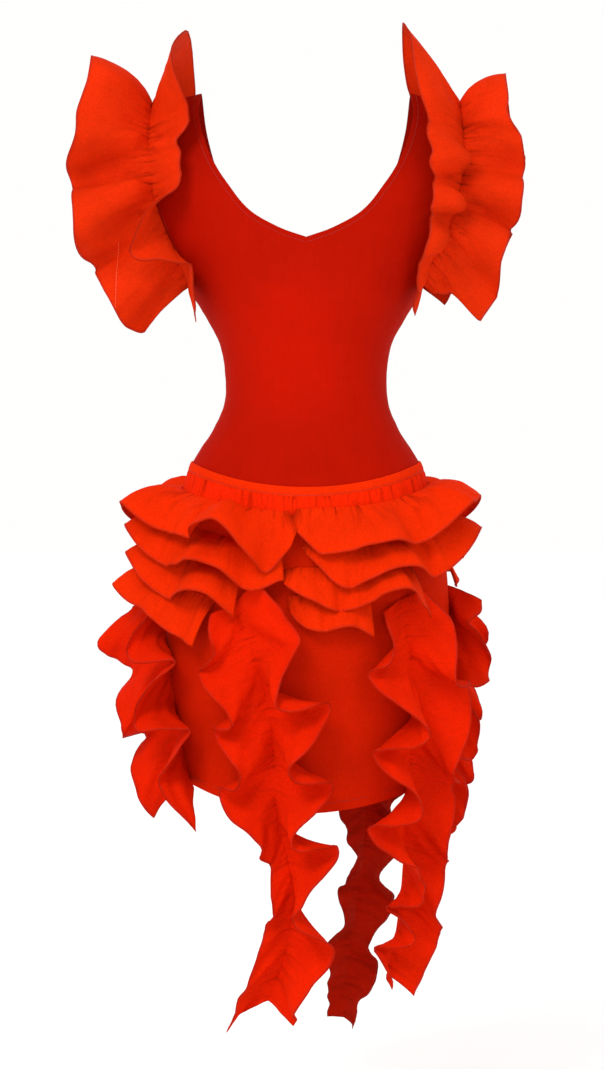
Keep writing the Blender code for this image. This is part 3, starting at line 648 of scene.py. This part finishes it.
def stationsOn(points, normals, places, step):
    lengths = lengthsAlong(points)
    goals = np.linspace(0, lengths[-1], max(2, round(lengths[-1] / step)) + 1)

    def read(values):
        return np.stack([np.interp(goals, lengths, values[:, k]) for k in range(3)], -1)

    place = goals if places is None else np.interp(goals, lengths, places)
    return read(points), unit(read(normals)), place, goals


def skirtStations(rows, byAngle):
    keyed = [(k, *row) for k, row in enumerate(rows)]
    found = throughRows(keyed, np.linspace(0, len(rows) - 1, ruffles["samples"]))
    angle, height = np.radians(found[:, 0]), found[:, 1]
    out = skirt["gap"] + skirt["solidWall"] + ruffles["rootGap"] + ruffles["solidWall"] / 2 + drapeAt(angle, height)
    points, normals = overFigure(angle, height, out)
    places = found[:, 0] * (1 if rows[-1][0] > 0 else -1) if byAngle else None
    return stationsOn(points, normals, places, ruffles["step"])


def wingGrid(stations, rows, side, style, rounded=False):  # from the sewn line to the free edge
    root, normal, place, goals = stations
    along = unit(np.gradient(root, axis=0))
    lateral = unit(np.cross(normal, along)) * side
    fold, curl = foldsAt(rows, place)
    stand, width, droop, lean = fold[:, 1], fold[:, 2], np.radians(fold[:, 3]), fold[:, 4]
    if rounded:  # a free end has a round corner
        width = width * (0.35 + 0.65 * np.sqrt(1 - (1 - np.minimum(goals / ruffles["corner"], 1)) ** 2))
    rootTilt = style[0] + (style[1] - style[0]) * stand
    tipTilt = style[2] + (style[3] - style[2]) * stand
    parts, line = ruffles["parts"], [root]
    down = np.array([0, 0, -1.0])
    for part in range(parts):
        t = (part + 0.5) / parts
        tilt = np.radians(rootTilt + (tipTilt - rootTilt) * t)
        fall = droop * (0.5 + 0.5 * t)
        level = lateral * np.cos(tilt)[:, None] + normal * np.sin(tilt)[:, None]
        step = level * np.cos(fall)[:, None] + down * np.sin(fall)[:, None]
        line.append(line[-1] + step * (width / parts)[:, None])
    line = np.stack(line, 1)
    cells = min(ruffles["mostCells"], max(6, round(float(width.max()) / ruffles["cell"])))
    hem, width = ruffles["hem"], width[:, None]
    body = np.linspace(0, 1, cells + 1)[None, :] * (width - hem - 0.5)
    across = np.concatenate([body, width - hem, width - hem / 2, width - 0.5, width], 1)
    share = across / width
    at = share * parts
    i = np.clip(np.floor(at).astype(int), 0, parts - 1)
    t = (at - i)[..., None]
    rowsIndex = np.arange(len(root))[:, None]
    points = line[rowsIndex, i] * (1 - t) + line[rowsIndex, i + 1] * t
    points = points + along[:, None] * (curl[:, None] * style[4] * share**2 + lean[:, None] * share)[..., None]
    return points, across, width - across


def lineOnFront(piece, start, end, count=40):  # a line from point to point, laid on the cloth that the front shows
    tree = BVHTree.FromObject(piece, bpy.context.evaluated_depsgraph_get())
    line = []
    for x, z in np.linspace(start, end, count) * mm:
        spot, normal = tree.ray_cast(Vector((x, -1, z)), Vector((0, 1, 0)))[:2]
        if spot is not None:
            line.append(np.array(spot + normal * 0.0003) / mm)
    return line


def camelName(node):
    first, *rest = node.split("_")
    return first + "".join(word.capitalize() for word in rest)


def creased(grid, across, edge, goals, seed, slant, gather, pleats):
    along = np.broadcast_to(goals[:, None], across.shape)
    root = np.abs(across)
    sided = across + np.where(across < 0, 400.0, 0.0)
    slanted, middle = along - slant * root, np.clip(root / ruffles["rootReach"], 0, 1)
    near = np.exp(-root / ruffles["puckerReach"]) * np.clip(root / 3.0, 0.0, 1)
    pucker = uvCloud(slanted, sided, *ruffles["puckerGrain"], seed) * near * ruffles["pucker"] * gather
    bunch = uvCloud(along, np.zeros_like(along), *ruffles["bunchGrain"], seed + 0.11)
    drag = uvCloud(slanted, sided, *ruffles["dragGrain"], seed + 0.37) * middle * ruffles["drag"]
    outer = np.clip(1 - edge / ruffles["flutterReach"], 0, 1) ** 1.5
    flutter = uvCloud(along, sided, *ruffles["flutterGrain"], seed + 0.71) * outer * ruffles["flutter"]
    wrinkle = uvCloud(along - 0.3 * sided, sided, *ruffles["wrinkleGrain"], seed + 0.93) * ruffles["wrinkle"] * middle
    fall, pull = np.zeros_like(along), np.zeros_like(along)
    (narrow, spread), (ridgeAt, ridgeShare) = ruffles["pleatWidth"], ruffles["ridge"]
    for place, wing, depth in pleats:  # a trough with a ridge beside it, from the gathers to a hem that it draws in
        off = (along - place) / (narrow + spread * root)
        there = np.where(across * wing > 0, depth * middle, 0.0)
        fall += there * (ridgeShare * np.exp(-(off - ridgeAt) ** 2) - np.exp(-off ** 2))
        drawn = np.exp(-(off / ruffles["pullWidth"]) ** 2) * np.clip(1 - edge / ruffles["pullReach"], 0, 1)
        pull += there * drawn * ruffles["pull"]
    lift = pucker * np.clip(0.55 + bunch, 0.1, 1.2) + drag + flutter + wrinkle + fall
    outwards = unit(np.gradient(grid, axis=1)) * np.sign(across)[..., None]
    return grid + gridNormals(grid) * lift[..., None] - outwards * pull[..., None]


def rufflePiece(node, sizes, cells, goals, seed, fabric, gathered=True, slant=0.0, gather=1.0):
    grid, across, edge = cells
    ends = np.minimum(goals, goals[-1] - goals)[:, None]
    edge = np.minimum(edge, np.broadcast_to(ends, edge.shape))
    grid = creased(grid, across, edge, goals, seed, slant, gather, sizes.get("pleats", ()))
    normal = gridNormals(grid)
    hem, thin, thick = ruffles["hem"], ruffles["wall"], ruffles["hemWall"]
    wall = thin + (thick - thin) * np.clip((hem + 0.3 - edge) / 0.5, 0, 1)
    half = (np.where(edge < 0.3, thin, wall) / 2)[..., None]
    uv = np.stack([np.broadcast_to(goals[:, None], across.shape), across], -1)
    root = np.abs(across) + 40 * (1 - gather)
    made = clothPiece(camelName(node), grid + normal * half, grid - normal * half, uv, edge, root, fabrics[fabric])
    lift = thick / 2 + 0.08
    lines = []
    for column in [2, -3] if gathered else [-3]:  # the columns that lie half way up each hem
        path = grid[2:-2, column] * 0.25 + grid[2:-2, column + (-1 if column < 0 else 1)] * 0.75
        way = normal[2:-2, column]
        lines += [path + way * lift, path - way * lift]
    extras = [stitched(made.name + "Stitches", lines)]
    if "paleRun" in sizes:
        run = lineOnFront(made, *sizes["paleRun"])
        extras.append(stitched(made.name + "PaleStitches", [run], 1.3, "threadPale"))
    settle(made, node, sizes["cut"], extras)


tiers = {
    "tier_left_1": dict(
        cut=(0.085, 0.64), path=[(-8, -566), (-30, -560), (-60, -547), (-90, -539), (-130, -533),
            (-179.5, -531)],
        folds=[(8, 0.1, 78, 0, -16), (14, 0, 92, 0, -6), (32, 1.15, 88), (46, 0.4, 72), (58, 0.3, 68),
            (79, 1, 94), (103, 0.1, 80), (121, 1, 82), (139, 0, 80), (158, 1, 78), (179.5, 0.1, 74)]),
    "tier_left_2": dict(
        cut=(0.067, 0.59), path=[(-10, -604), (-35, -600), (-65, -583), (-90, -566), (-130, -562),
            (-179.5, -562)],
        folds=[(10, 0, 56, 0, -8), (20, 0.1, 76), (36, 0.75, 66), (58, 0.1, 66), (79, 0.9, 76), (103, 0, 64),
            (121, 0.85, 66), (139, 0, 64), (158, 0.85, 62), (179.5, 0.1, 60)]),
    "tier_left_3": dict(
        cut=(0.062, 0.54), path=[(-26, -640), (-45, -634), (-70, -615), (-90, -598), (-130, -593),
            (-179.5, -593)],
        folds=[(26, 0.05, 66, 6), (38, 0.7, 60), (56, 0, 66), (79, 0.8, 68), (103, 0, 62), (121, 0.75, 62),
            (139, 0, 62), (158, 0.75, 60), (179.5, 0.1, 58)]),
    "tier_left_4": dict(
        cut=(0.066, 0.51), path=[(-38, -684), (-55, -670), (-75, -648), (-90, -632), (-130, -624),
            (-179.5, -624)],
        folds=[(38, 0.1, 68, 4, 6), (50, 0.1, 66), (66, 0.45, 64), (82, 0.85, 84), (94, 0.6, 70),
            (106, 0, 64), (121, 0.7, 66), (139, 0, 66), (158, 0.7, 64), (179.5, 0.1, 62)]),
    "tier_right_1": dict(
        cut=(0.080, 0.65), path=[(-4, -562), (30, -557), (60, -543), (90, -532), (130, -531), (179.5, -531)],
        folds=[(-4, 0.2, 50, 0, -8), (5, 0, 68), (27, 0.55, 78), (44, 0.2, 74), (68, 0.95, 82), (82, 1, 80),
            (104, 0.1, 76), (122, 1, 80), (140, 0, 78), (158, 1, 76), (179.5, 0.1, 72)]),
    "tier_right_2": dict(
        cut=(0.068, 0.62), path=[(1, -604), (30, -600), (60, -584), (90, -566), (130, -562), (179.5, -562)],
        folds=[(1, 0.1, 30, 0, -8), (15, 0, 70), (32, 0.7, 70), (50, 0, 76), (78, 0.85, 72), (104, 0, 64),
            (122, 0.85, 66), (140, 0, 64), (158, 0.85, 62), (179.5, 0.1, 60)]),
    "tier_right_3": dict(
        cut=(0.066, 0.21), path=[(-7, -640), (20, -638), (47, -630)],
        folds=[(-7, 0.4, 40, 0, -10), (12, 0, 62), (33, 0.8, 64), (47, 0.1, 88)]),
    "tier_right_4": dict(
        cut=(0.050, 0.12), path=[(-7, -676), (10, -676), (26, -676)],
        folds=[(-7, 0, 38), (6, 0.1, 52), (17, 0.35, 50), (26, 0.1, 60)]),
    "tier_right_5": dict(
        cut=(0.060, 0.29), path=[(98, -598), (130, -593), (179.5, -593)],
        folds=[(98, 0.2, 52), (106, 0, 60), (122, 0.75, 62), (140, 0, 62), (158, 0.75, 60),
            (179.5, 0.1, 58)]),
    "tier_right_6": dict(
        cut=(0.065, 0.27), path=[(104, -628), (130, -624), (179.5, -624)],
        folds=[(104, 0.1, 56), (122, 0.7, 66), (140, 0, 66), (158, 0.7, 64), (179.5, 0.1, 62)]),
}


roundEnded = ("tier_left_1", "tier_right_1", "tier_right_2", "tier_right_3", "tier_right_4")


def tierPiece(node, sizes, seed):
    stations = skirtStations(sizes["path"], True)
    side = -1 if sizes["path"][-1][0] > sizes["path"][0][0] else 1
    cells = wingGrid(stations, sizes["folds"], side, styles["tier"], node in roundEnded)
    rufflePiece(node, sizes, cells, stations[3], seed, "ruffleRed", gathered=False)


def evenFolds(length, count, width, endWidth, start=0.0, droops=(12, 46)):
    rows = [(0, 0.1, width * 0.3, 20)] if start > 0 else []
    for k in range(count + 1):
        t = k / count
        rows.append((start + (length - start) * t, k % 2, width + (endWidth - width) * t, droops[k % 2]))
    return rows


cascades = {
    "cascade_left_front": dict(
        cut=(0.145, 0.64), path=[(-30, -688), (-22, -752), (-16, -815), (-14, -885), (-14, -955), (-9, -1025),
            (-5, -1095), (-11, -1165), (-19, -1222)],
        left=[(0, 0.1, 30, 16), (24, 0.6, 52, 40), (60, 0, 74, 12), (104, 0.75, 76, 40), (148, 0.05, 78, 16),
            (200, 0.7, 74, 36), (246, 0, 76, 16), (300, 0.85, 56, 40), (346, 0.3, 28, 30), (400, 0.5, 44, 36),
            (446, 0.2, 44, 26), (492, 0.4, 60, 40), (548, 0.05, 88, 62)],
        right=[(0, 0.1, 60, 18, -28), (34, 0.1, 84, 16, -14), (64, 0.05, 86, 14), (103, 0.75, 82, 40),
            (144, 0, 92, 12), (186, 0.75, 84, 42), (234, 0, 86, 12), (288, 0.75, 78, 42), (338, 0, 78, 14),
            (398, 1.2, 62, 40), (452, 0.05, 64, 18), (504, 0.6, 62, 30), (548, 0.2, 46, 26)]),
    "cascade_right_front": dict(
        cut=(0.150, 0.60), path=[(40, -684), (46, -750), (50, -815), (51, -880), (51, -945), (52, -1010),
            (51, -1075), (48, -1135), (43, -1190)],
        left=[(0, 0.1, 36, 14), (30, 0.5, 58, 34), (70, 0, 84, 12), (128, 0.85, 84, 44), (190, 0, 90, 12),
            (236, 0.8, 82, 42), (290, 0, 86, 14), (370, 1.15, 60, 42), (411, 0.2, 42, 16),
            (444, 1.15, 46, 30), (474, 0.1, 44, 12), (510, 0.8, 44, 30)],
        right=[(0, 0.1, 40, 14, -10), (36, 0.1, 68, 14), (72, 0.75, 78, 42), (116, 0, 86, 12),
            (184, 0.8, 78, 44), (244, 0, 71, 12), (300, 0.7, 70, 42), (352, 0.2, 62, 20), (392, 0.8, 60, 40),
            (436, 0.05, 66, 16), (510, 0.3, 44, 40)]),
    "cascade_left_side": dict(
        cut=(0.165, 0.35), path=[(-80, -682), (-78, -722), (-76, -768), (-73, -824), (-70, -880), (-67, -930)],
        left=[(0, 0.2, 70, 16), (26, 0.4, 120, 20), (84, 0.05, 94, 16), (126, 0.9, 84, 44), (170, 0, 86, 14),
            (214, 0.7, 78, 42), (268, 0.1, 72, 46)],
        right=[(0, 0.1, 32, 16), (36, 1, 74, 44), (80, 0, 80, 12), (124, 1, 80, 46), (170, 0, 82, 16),
            (212, 0.7, 80, 46), (256, 0.1, 100, 60)]),
    "cascade_right_side": dict(
        cut=(0.145, 0.42), path=[(98, -672), (98, -722), (98, -776), (97, -832), (96, -888), (94, -945),
            (92, -1000)],
        left=[(0, 0.7, 56, 30), (36, 0, 70, 12), (76, 1, 72, 44), (130, 0, 64, 12), (182, 1, 64, 44),
            (226, 0, 60, 12), (264, 0.95, 60, 44), (328, 0.3, 44, 40)],
        right=[(0, 0.1, 28, 16), (34, 1, 76, 40), (84, 0, 84, 12), (130, 0.9, 82, 46), (172, 0, 80, 12),
            (216, 0.95, 76, 46), (258, 0, 70, 14), (296, 0.8, 58, 46), (328, 0.2, 46, 40)]),
    "cascade_right_back": dict(
        cut=(0.135, 0.69), path=[(147, -684), (147, -765), (147, -850), (148, -935), (149, -1020),
            (152, -1100), (156, -1180), (160, -1284)],
        left=evenFolds(578, 11, 84, 36, start=26),
        right=[(0, 0.1, 24, 20), (40, 0, 80, 12), (84, 1, 80, 46), (130, 0, 80, 12), (176, 1, 78, 46),
            (222, 0, 74, 12), (266, 1, 66, 46), (306, 0, 50, 14), (340, 0.1, 36, 20), (378, 0.6, 34, 40),
            (420, 0.1, 38, 16), (460, 0.5, 36, 30), (502, 0, 44, 20), (540, 0.3, 44, 24),
            (584, 0.1, 28, 12)]),
    "cascade_left_back": dict(
        cut=(0.150, 0.28), path=[(-150, -684), (-150, -740), (-150, -800), (-151, -860), (-152, -915)],
        left=evenFolds(232, 5, 80, 50, start=40),
        right=evenFolds(232, 5, 80, 50, start=24)),
}


def doubleGrid(stations, leftRows, rightRows, leftStyle, rightStyle):
    left, leftAcross, leftEdge = wingGrid(stations, leftRows, -1, leftStyle)
    right, rightAcross, rightEdge = wingGrid(stations, rightRows, 1, rightStyle)
    grid = np.concatenate([left[:, :0:-1], right], 1)
    across = np.concatenate([-leftAcross[:, :0:-1], rightAcross], 1)
    edge = np.concatenate([leftEdge[:, :0:-1], rightEdge], 1)
    return grid, across, edge


def cascadePiece(node, sizes, seed):
    stations = skirtStations(sizes["path"], False)
    cells = doubleGrid(stations, sizes["left"], sizes["right"], styles["cascade"], styles["cascade"])
    # the back cascade's darker red is painted shade
    fabric = "tailRedPaintedShade" if node == "cascade_right_back" else "cascadeRed"
    rufflePiece(node, sizes, cells, stations[3], seed, fabric, slant=0.6, gather=0.6)


sleeves = {  # each pleat has its place, its wing (1 or -1, the strip's two sides) and its depth
    "inset": 0.02, "lowestRise": 0.07, "lift": 0.4, "shoulderLift": 2.5, "step": 3.0,
    "sleeve_ruffle_left": dict(
        cut=(0.190, 0.79),
        outer=[(0, 0.2, 100, 50), (48, 0.8, 104, 32), (92, 0, 118, 12), (132, 0.9, 120, 6), (172, 0, 114, 4),
            (214, 0.8, 114, 4), (256, 1.0, 108, 0), (306, 0.8, 104, 0), (352, 0, 112, 4), (394, 1, 116, 8),
            (436, 0, 112, 14), (490, 0.4, 74, 40)],
        inner=[(0, 0.1, 50, 66), (44, 0, 54, 20), (92, 1.0, 70, 24), (140, 0, 66, 4), (186, 0.08, 72, 8),
            (220, 0.1, 82, 2), (256, 0.58, 122, 0), (304, 0.2, 76, 4), (350, 0.8, 64, 14), (394, 0, 60, 4),
            (436, 1, 62, 20), (490, 0.1, 36, 20)],
        pleats=[(211, 1, 7), (151, 1, 8), (72, 1, 6), (196, -1, 4), (330, 1, 7), (374, 1, 6), (414, 1, 7)],
        paleRun=((-252, -208), (-256, -292))),
    "sleeve_ruffle_right": dict(
        cut=(0.160, 0.78),
        outer=[(0, 0.1, 24, 50), (28, 0.1, 44, 52), (52, 0.1, 104, 58), (76, 0.1, 104, 38), (98, 0.8, 84, 24),
            (122, 0, 88, 12), (147, 0.7, 88, 4), (178, 0, 88, 4), (210, 0.5, 80, 0), (236, 0.85, 74, 0),
            (262, 0.85, 76, 0), (308, 0.85, 80, 0), (352, 0, 90, 4), (394, 1, 96, 8), (436, 0, 90, 12),
            (490, 0.4, 44, 40)],
        inner=[(0, 0.1, 44, 60), (40, 0.1, 48, 30), (74, 0.8, 72, 16), (98, 0.1, 52, 10), (121, 0.95, 88, 8),
            (147, 0.1, 56, 6), (178, 1, 104, 2), (216, 0.2, 66, -8), (256, 0.3, 122, -56),
            (304, 0.2, 84, -14), (350, 0.8, 84, 8), (394, 0.1, 56, 4), (436, 0.8, 80, 12),
            (490, 0.1, 36, 20)],
        pleats=[(228, -1, 5), (164, -1, 4), (112, -1, 8), (84, -1, 4), (330, -1, 7), (374, -1, 6), (414, -1, 7)]),
}


def sleeveStations(side):  # round the armhole from the front underarm over the shoulder to the back underarm
    count = ruffles["samples"]
    turn = 2 * np.linspace(0, 1, count) - 1
    inset = sleeves["inset"]
    rise = np.minimum(0.9995, 1 - np.abs(turn) ** 1.6 * (1 - sleeves["lowestRise"]))
    points, normals = np.empty((count, 3)), np.empty((count, 3))
    for face, mask in ((-1, turn < 0), (1, turn >= 0)):
        r = rise[mask]
        point = chestPoints(face, 1 - inset, r)
        beside = chestPoints(face, 0.98 - inset, r)
        above = chestPoints(face, 1 - inset, np.minimum(1.0, r + 0.002))
        below = chestPoints(face, 1 - inset, r - 0.002)
        flip = np.array([side, 1, 1])
        point, beside, above, below = point * flip, beside * flip, above * flip, below * flip
        points[mask] = point
        normals[mask] = unit(np.cross(point - beside, above - below)) * side * -face
    lift = sleeves["lift"] + sleeves["shoulderLift"] * np.maximum(0.0, 1 - np.abs(turn) / 0.16)
    points = points + normals * (ruffles["rootGap"] + ruffles["solidWall"] / 2 + lift)[:, None]
    return stationsOn(points, normals, None, sleeves["step"])


def sleevePiece(node, side, seed):
    sizes = sleeves[node]
    stations = sleeveStations(side)
    innerStyle = styles["inner" if side < 0 else "rolled"]
    inner, outer = (sizes["inner"], innerStyle), (sizes["outer"], styles["outer"])
    left, right = (inner, outer) if side < 0 else (outer, inner)
    cells = doubleGrid(stations, left[0], right[0], left[1], right[1])
    rufflePiece(node, sizes, cells, stations[3], seed, "sleeveRed")


# Making

bodicePiece("bodiceFront", "bodice_front", -1)
bodicePiece("bodiceBack", "bodice_back", 1)
print("bodice made")
waistCasing()
skirtPiece("skirtFront", "skirt_front", -1)
skirtPiece("skirtBack", "skirt_back", 1)
print("waistband and skirt made")
for number, (node, sizes) in enumerate(tiers.items()):
    tierPiece(node, sizes, 20 + number)
print("tiers made:", len(tiers))
for number, (node, sizes) in enumerate(cascades.items()):
    cascadePiece(node, sizes, 40 + number)
print("cascades made:", len(cascades))
sleevePiece("sleeve_ruffle_left", -1, 61)
sleevePiece("sleeve_ruffle_right", 1, 62)
print("sleeves made")

# Studio


def studioLight(name, spot, aim, size, power):
    light = bpy.data.lights.new(name, "AREA")
    light.shape, light.size, light.energy = "DISK", size, power
    made = placed(name, light)
    made.location = spot
    made.rotation_euler = (Vector(aim) - Vector(spot)).to_track_quat("-Z", "Y").to_euler()


def studioFloor():
    mesh = bpy.data.meshes.new("studioFloor")
    radius, sides = studio["floorRadius"], studio["floorSides"]
    turns = np.linspace(0, 2 * math.pi, sides + 1)[:-1]
    ring = [(radius * math.cos(a), radius * math.sin(a), studio["floorHeight"]) for a in turns]
    mesh.from_pydata(ring, [], [list(range(sides))])
    paint, kit, shader, place = newMaterial("paleFloor")
    shade = kit.span(kit.noise(place, 1.3, 3.0), 0.3, 0.7, *studio["floorShade"])
    colour = kit.add("ShaderNodeCombineColor")
    for socket in colour.inputs[:3]:
        kit.put(socket, shade)
    kit.put(shader.inputs["Base Color"], colour.outputs[0])
    shader.inputs["Roughness"].default_value = 0.9
    shader.inputs["Emission Color"].default_value = (1, 1, 1, 1)
    shader.inputs["Emission Strength"].default_value = studio["floorGlow"]
    mesh.materials.append(paint)
    placed("studioFloor", mesh)


world = bpy.data.worlds.new("studioWorld")
world.use_nodes = True
background = world.node_tree.nodes["Background"]
background.inputs["Color"].default_value = studio["worldColour"]
background.inputs["Strength"].default_value = studio["worldLight"]
bpy.context.scene.world = world
bpy.context.scene.view_settings.view_transform = "Standard"
studioLight("keyLight", **studio["key"])
studioLight("fillLight", **studio["fill"])
studioFloor()
print("studio set")
for row in finished:
    print("cut check", *row)
